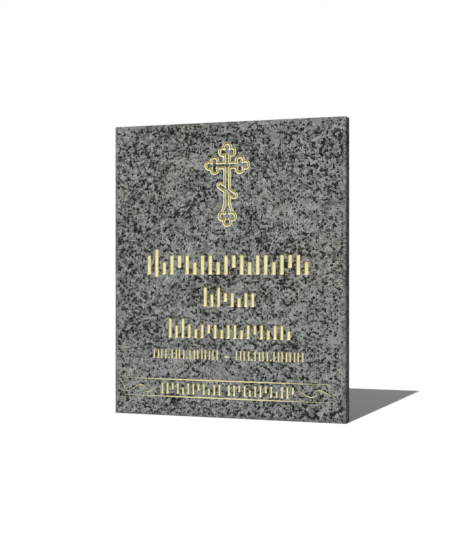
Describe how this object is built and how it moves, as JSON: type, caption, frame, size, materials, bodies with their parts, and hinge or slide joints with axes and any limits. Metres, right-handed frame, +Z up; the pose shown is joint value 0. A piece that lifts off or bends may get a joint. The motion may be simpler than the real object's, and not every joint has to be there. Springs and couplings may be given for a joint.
{
  "type": "columbarium niche plaque",
  "caption": "Upright granite plaque with a chamfered face, an engraved and gilded Orthodox cross, rows of plain strokes and a ruled band, fixed flat over a columbarium niche.",
  "frame": {"origin": "middle of the back face, where the plaque is fixed to the niche", "axes": "+Z up the plaque, +Y out of the back face into the niche, +X to the reader's right"},
  "size_m": [0.33, 0.02, 0.4],
  "materials": {
    "granite": "grey speckled granite, polished on the face, ground on the chamfer, honed on the edges, sawn at the back",
    "gilding": "satin gold coating in the engraved strokes"
  },
  "bodies": {
    "root": {"granite_plaque": "granite"}
  },
  "joints": []
}
